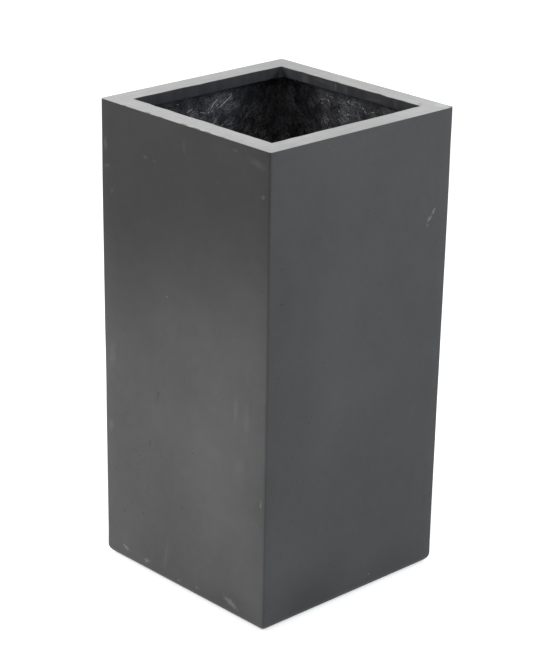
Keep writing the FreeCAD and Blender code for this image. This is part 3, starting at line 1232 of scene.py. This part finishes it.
def make_stopper():
    """Moulded rubber stopper: hollow tapered plug, rounded flange and a ribbed pull tab."""
    seat = panel_high.z
    flange_radius = stopper_high.x
    plug_radius = DRAIN_RADIUS - STOPPER_CLEARANCE
    foot_radius = plug_radius - STOPPER_TAPER
    sunk_top_radius = flange_radius - 3 * MM
    deselect_everything()
    bpy.ops.mesh.primitive_cylinder_add(vertices=64, radius=flange_radius, depth=STOPPER_FLANGE,
                                        location=(0, 0, seat + STOPPER_FLANGE / 2))
    flange = named("stopper_flange")
    bpy.ops.object.transform_apply(location=True)

    def is_rounded(edge):
        """True for the level edges round the flange, its sunk top and the plug's foot."""
        first, second = [end.co.xy.length for end in edge.verts]
        radii = (flange_radius, foot_radius, sunk_top_radius)
        on_radius = any(abs(radius - first) < CLOSE for radius in radii)
        return is_level(edge) and on_radius and abs(first - second) < CLOSE

    with editing(flange):
        pick(flange, "FACE", lambda f: f.normal.z < -0.9)
        bpy.ops.mesh.inset(thickness=flange_radius - plug_radius)
        bpy.ops.mesh.extrude_region_move(TRANSFORM_OT_translate={"value": (0, 0, stopper_low.z - seat)})
        foot_factor = foot_radius / plug_radius
        bpy.ops.transform.resize(value=(foot_factor, foot_factor, 1), center_override=(0, 0, 0))
        bpy.ops.mesh.inset(thickness=STOPPER_WALL)
        hollow_height = seat + STOPPER_FLANGE - STOPPER_ROOF - stopper_low.z
        bpy.ops.mesh.extrude_region_move(TRANSFORM_OT_translate={"value": (0, 0, hollow_height)})
        pick(flange, "FACE", lambda f: f.normal.z > 0.9)
        bpy.ops.mesh.inset(thickness=flange_radius - sunk_top_radius)
        bpy.ops.mesh.inset(thickness=0.5 * MM)
        bpy.ops.transform.translate(value=(0, 0, -0.6 * MM))
        pick(flange, "EDGE", is_rounded)
        bpy.ops.mesh.bevel(offset=0.5 * MM, segments=3, profile=0.5, affect="EDGES")
    tab_low = seat + STOPPER_FLANGE - MM
    tab = new_box("stopper_tab", (-TAB_WIDTH / 2, -TAB_THICKNESS / 2, tab_low),
                  (TAB_WIDTH / 2, TAB_THICKNESS / 2, stopper_high.z))
    with editing(tab):
        pick(tab, "EDGE", lambda e: along(e).y > MM and middle(e).z > tab_low + MM)
        bpy.ops.mesh.bevel(offset=TAB_WIDTH / 2 - CLOSE, segments=12, profile=0.5, affect="EDGES")
        pick(tab, "EDGE", lambda e: along(e).y < CLOSE and abs(middle(e).y) > MM)
        bpy.ops.mesh.bevel(offset=0.9 * MM, segments=3, profile=0.5, affect="EDGES")
    parts = [flange, tab]
    rib_count = 4
    rib_half_length = 6 * MM
    rib_out = TAB_THICKNESS / 2 + 0.35 * MM
    rib_height = 1.1 * MM
    for step in range(rib_count):
        low_z = tab_low + (5 + 2.6 * step) * MM
        rib = new_box("stopper_rib", (-rib_half_length, -rib_out, low_z),
                      (rib_half_length, rib_out, low_z + rib_height))
        with editing(rib):
            bpy.ops.mesh.select_all(action="SELECT")
            bpy.ops.mesh.bevel(offset=0.3 * MM, segments=2, profile=0.5, affect="EDGES")
        parts.append(rib)
    for part in parts:
        face_outwards(part)
    piece = join(parts, "rubber_stopper")
    smooth(piece)
    dress(piece, rubber, body="stopper", stands_for=["drain_stopper"])


def lay_base_strands():
    """Chopped strands over the base board, clear of the drain and the bead."""
    dice = random.Random("base" + str(STRAND_SEED))
    piece = new_strands("strands_base", BASE_STRAND_THICKNESS)
    clear_of_drain = stopper_high.x + 2 * MM
    reach = panel_high.x - BEAD_OVERLAP - 2 * MM
    for _ in range(BASE_STRANDS):
        start = Vector((dice.uniform(-reach, reach), dice.uniform(-reach, reach)))
        level = panel_high.z + dice.uniform(0.1, 0.5) * BASE_STRAND_THICKNESS
        line = [start + step for step in strand_line(dice, BASE_CURL)]
        if min(point.length for point in line) < clear_of_drain:
            continue
        inside = [point for point in line if out_from_axis(Vector((*point, 0))) < reach]
        if len(inside) > 2:
            add_strand(piece, [(*point, level) for point in inside])
    finish_strands(piece, wet_strands)


make_shell()
make_rim()
make_base_panel()
make_base_bead()
make_stopper()
lay_base_strands()
laid_surface = surface_of([make_lining(), *make_corner_tapes()])
for wall in range(4):
    lay_wall_strands("strands_upper_%d" % (wall + 1), laid_surface, UPPER_STRANDS,
                     STRANDS_CLOSER_FROM, STRANDS_TO, start_at=wall / 4, share=0.25)
lay_wall_strands("strands_lower", laid_surface, LOWER_STRANDS, STRANDS_FROM, STRANDS_CLOSER_FROM)
lay_loose_strands(laid_surface)

for side in ("front", "right", "back", "left"):
    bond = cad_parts["rim_bond_" + side]
    bond.data.materials.clear()
    bond.data.materials.append(laminate)


# =====================================================================
# Floor, light and camera
# =====================================================================

def make_floor():
    """Pale floor that reads white to the eye and keeps the planter's shadow."""
    deselect_everything()
    bpy.ops.mesh.primitive_plane_add(size=60.0, location=(0, 0, 0))
    floor = named("floor")
    material, tree, shader = new_material("pale_floor", roughness=0.9, specular=0.1)
    shader["Base Color"].default_value = grey(0.85)
    shader["Emission Color"].default_value = grey(1.0)
    feed(tree, shader["Emission Strength"], maths(tree, "MULTIPLY", seen_by_eye(tree), 0.5))
    floor.data.materials.append(material)


def make_world():
    """Even soft light; the backdrop is white where it is seen."""
    world = bpy.data.worlds.new("studio")
    bpy.context.scene.world = world
    world.use_nodes = True
    tree = world.node_tree
    tree.nodes.clear()
    light = new_node(tree, "ShaderNodeBackground", Color=grey(1.0), Strength=0.72)
    white = new_node(tree, "ShaderNodeBackground", Color=grey(1.0), Strength=1.0)
    mix = new_node(tree, "ShaderNodeMixShader")
    output = new_node(tree, "ShaderNodeOutputWorld")
    feed(tree, mix.inputs[0], seen_by_eye(tree))
    tree.links.new(light.outputs[0], mix.inputs[1])
    tree.links.new(white.outputs[0], mix.inputs[2])
    tree.links.new(mix.outputs[0], output.inputs[0])


def add_softbox(name, direction, power, colour=(1, 1, 1)):
    """Large soft lamp, off in one direction from a place above the planter's middle and
    aimed at it."""
    centre = Vector((0, 0, 0.55))
    distance = 2.6
    size = 0.8
    towards = Vector(direction).normalized()
    lamp = bpy.data.lights.new(name, "AREA")
    lamp.shape = "SQUARE"
    lamp.size = size
    lamp.energy = power
    lamp.color = colour
    holder = bpy.data.objects.new(name, lamp)
    bpy.context.scene.collection.objects.link(holder)
    holder.location = centre + towards * distance
    holder.rotation_mode = "QUATERNION"
    holder.rotation_quaternion = (-towards).to_track_quat("-Z", "Y")


def make_camera():
    """Camera at the photograph's angle, with its small roll."""
    azimuth = math.radians(CAMERA_AZIMUTH)
    elevation = math.radians(CAMERA_ELEVATION)
    roll = math.radians(CAMERA_ROLL)
    flat = Vector((math.sin(azimuth), -math.cos(azimuth), 0))
    back = flat * math.cos(elevation) + Vector((0, 0, math.sin(elevation)))
    level_right = Vector((math.cos(azimuth), math.sin(azimuth), 0))
    level_up = back.cross(level_right)
    right = level_right * math.cos(roll) + level_up * math.sin(roll)
    up = level_up * math.cos(roll) - level_right * math.sin(roll)
    data = bpy.data.cameras.new("camera")
    data.sensor_width = 36.0
    data.lens = CAMERA_LENS
    data.clip_start = 0.1
    data.clip_end = 100.0
    camera = bpy.data.objects.new("camera", data)
    bpy.context.scene.collection.objects.link(camera)
    turn = Matrix((right, up, back)).transposed()
    camera.matrix_world = Matrix.Translation(CAMERA_TARGET + back * CAMERA_DISTANCE) @ turn.to_4x4()
    bpy.context.scene.camera = camera


make_floor()
make_world()
add_softbox("left_softbox", (-1.0, -1.5, 1.0), 30)
add_softbox("right_softbox", (1.5, 1.0, 1.0), 26, (0.85, 0.93, 1.0))
make_camera()
bpy.context.scene.view_settings.view_transform = "Standard"
